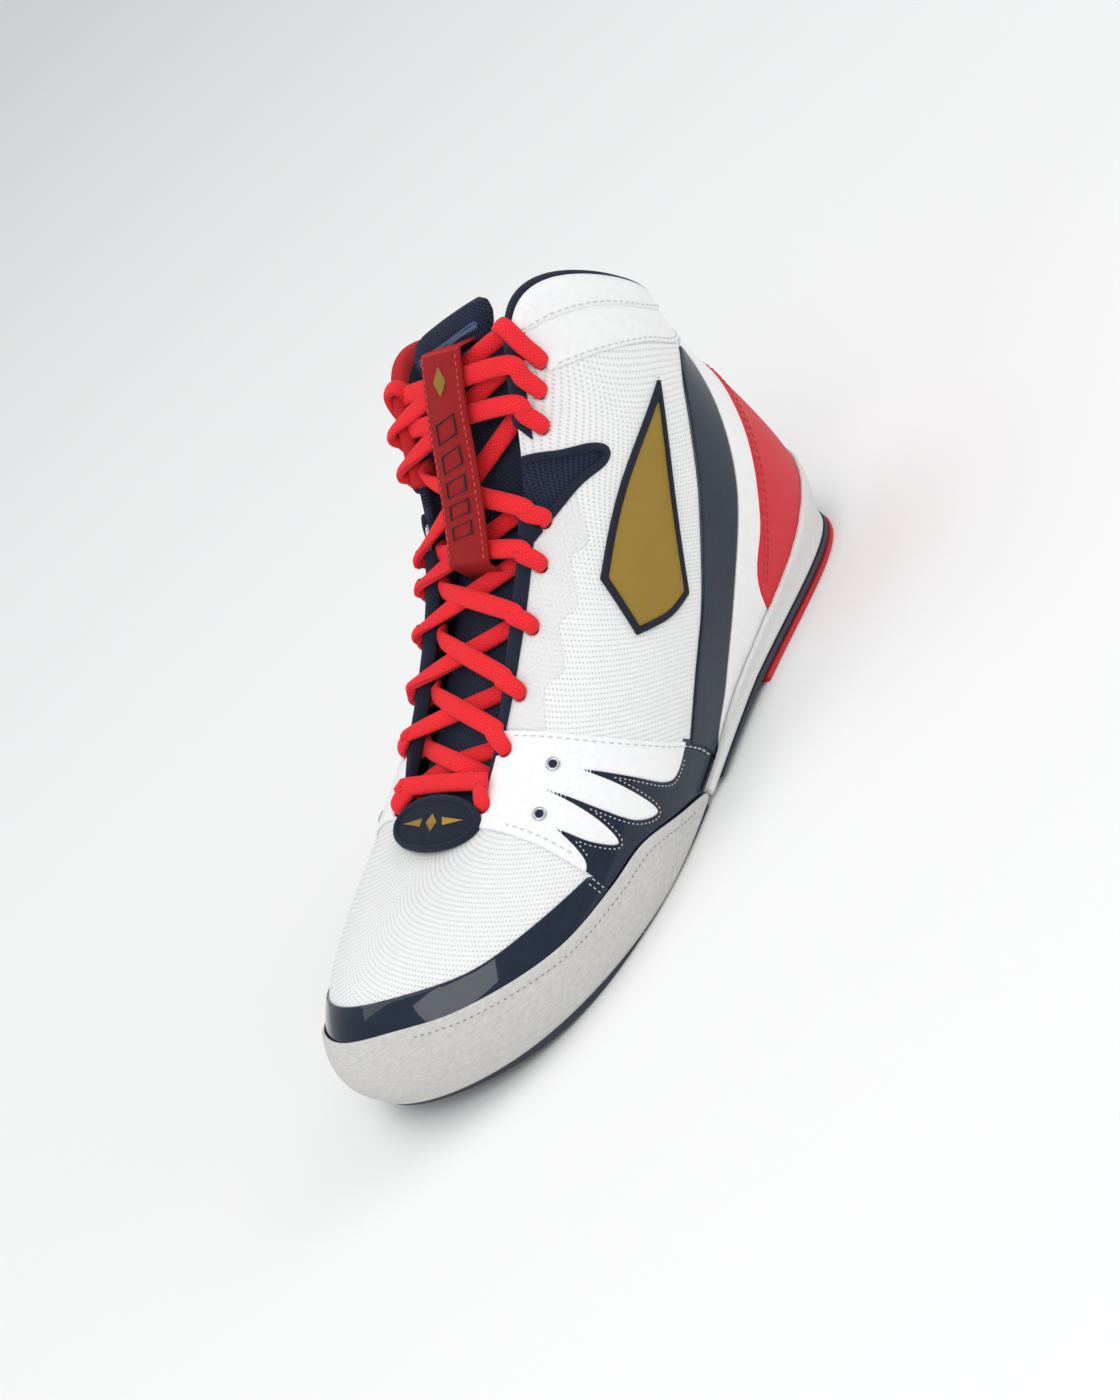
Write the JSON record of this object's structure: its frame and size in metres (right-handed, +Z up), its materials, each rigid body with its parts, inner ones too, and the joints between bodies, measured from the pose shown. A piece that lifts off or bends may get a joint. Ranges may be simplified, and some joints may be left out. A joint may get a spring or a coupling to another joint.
{
  "type": "high-top lace-up boxing boot",
  "caption": "High-top boxing boot, left foot: mesh upper with patent and suede overlays, lace-up throat with padded tongue and lace keeper, split rubber sole.",
  "frame": {"origin": "centre of the boot's footprint box, on the floor it stands on", "axes": "+Z up, toe towards -Y, heel towards +Y, lateral (outer) side of the left foot towards +X"},
  "size_m": [0.1076, 0.2952, 0.1643],
  "materials": {
    "white_mesh": "fine open-hole knit",
    "white_synthetic": "smooth matte coated synthetic",
    "clear_film": "translucent welded film",
    "grey_suede": "brushed suede",
    "navy_patent": "high-gloss patent",
    "navy_fabric": "knit and woven binding",
    "red_fabric": "braided or woven polyester",
    "red_synthetic": "smooth matte coated synthetic",
    "gold_thread": "satin weave",
    "navy_rubber": "matte moulded rubber",
    "red_rubber": "matte moulded rubber",
    "white_foam": "matte foam",
    "eyelet_metal": "small rolled eyelets"
  },
  "bodies": {
    "boot": {"ankle_gusset_lateral": "navy_fabric", "ankle_gusset_medial": "navy_fabric", "ball_outsole": "navy_rubber", "collar_band": "white_synthetic", "collar_binding_lateral": "navy_fabric", "collar_binding_medial": "red_fabric", "collar_top_panel": "white_synthetic", "emblem_border_lateral": "navy_fabric", "emblem_border_medial": "navy_fabric", "emblem_field_lateral": "gold_thread", "emblem_field_medial": "gold_thread", "eyestay_film_lateral": "clear_film", "eyestay_film_medial": "clear_film", "heel_outsole": "navy_rubber", "heel_panel": "red_synthetic", "heel_strip_lateral": "white_synthetic", "heel_strip_medial": "white_synthetic", "heel_tread": "red_rubber", "insole_board": "white_foam", "lace": "red_fabric", "lace_strap": "red_fabric", "midsole_cup": "white_foam", "quarter_lining_lateral": "white_mesh", "quarter_lining_medial": "white_mesh", "quarter_mesh_lateral": "white_mesh", "quarter_mesh_medial": "white_mesh", "saddle_lateral": "white_synthetic", "saddle_medial": "white_synthetic", "side_fingers_patent_lateral": "navy_patent", "side_fingers_patent_medial": "navy_patent", "side_sweep_patent_lateral": "navy_patent", "side_sweep_patent_medial": "navy_patent", "sockliner": "navy_fabric", "throat_piping_lateral": "navy_fabric", "throat_piping_medial": "navy_fabric", "toe_rand_suede": "grey_suede", "tongue": "navy_fabric", "vent_eyelet_lateral_1": "eyelet_metal", "vent_eyelet_lateral_2": "eyelet_metal", "vent_eyelet_medial_1": "eyelet_metal", "vent_eyelet_medial_2": "eyelet_metal"},
    "forefoot": {"vamp_mesh": "white_mesh", "vamp_lining": "white_mesh", "toe_band_patent": "navy_patent", "toe_outsole": "navy_rubber", "throat_badge": "navy_fabric"},
    "tongue_top": {"tongue_cap": "navy_fabric"}
  },
  "joints": [
    {"name": "toe_flex", "type": "hinge", "parent": "boot", "child": "forefoot", "pos_m": [0, -0.0599, 0.003], "axis": [-1, 0, 0], "range_deg": [0, 25], "stiffness_Nm_per_rad": 2, "deforming": ["saddle_lateral", "saddle_medial", "side_fingers_patent_lateral", "side_fingers_patent_medial", "toe_rand_suede", "quarter_lining_lateral", "quarter_lining_medial", "insole_board", "sockliner", "tongue", "lace", "throat_piping_lateral", "throat_piping_medial", "vent_eyelet_lateral_1", "vent_eyelet_lateral_2", "vent_eyelet_medial_1", "vent_eyelet_medial_2"]},
    {"name": "tongue_fold", "type": "hinge", "parent": "boot", "child": "tongue_top", "pos_m": [-0.0026, 0.0726, 0.1523], "axis": [1, 0, 0], "range_deg": [-10, 35], "stiffness_Nm_per_rad": 0.1}
  ]
}
